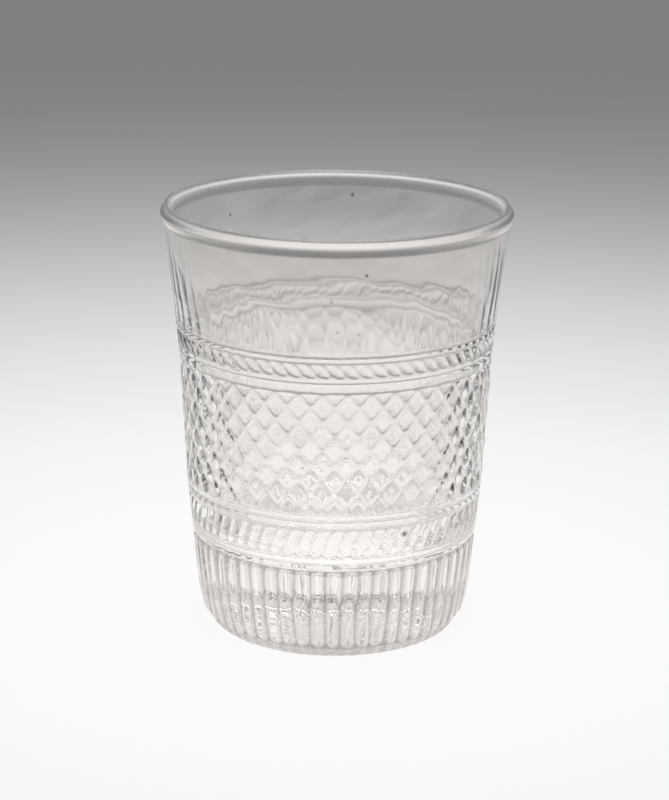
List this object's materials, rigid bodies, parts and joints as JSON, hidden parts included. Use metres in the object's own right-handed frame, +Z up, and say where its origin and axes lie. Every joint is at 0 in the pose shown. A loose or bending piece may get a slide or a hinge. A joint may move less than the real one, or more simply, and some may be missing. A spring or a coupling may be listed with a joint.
{
  "type": "patterned glass tumbler",
  "caption": "Clear moulded glass beaker with a flared open mouth, bands of flutes, slanted ribs and diamonds, a thick solid foot and a flat ring to stand on.",
  "frame": {"origin": "centre of the circle that the beaker stands on", "axes": "+Z up along the beaker's axis, -Y towards the front of the picture, +X to the right"},
  "size_m": [0.093, 0.093, 0.1147],
  "materials": {
    "clear_glass": "clear colourless glass with a faint warm grey tint, fire-polished outside and inside, with small bubbles and specks"
  },
  "bodies": {
    "root": {"glass_body": "clear_glass"}
  },
  "joints": []
}
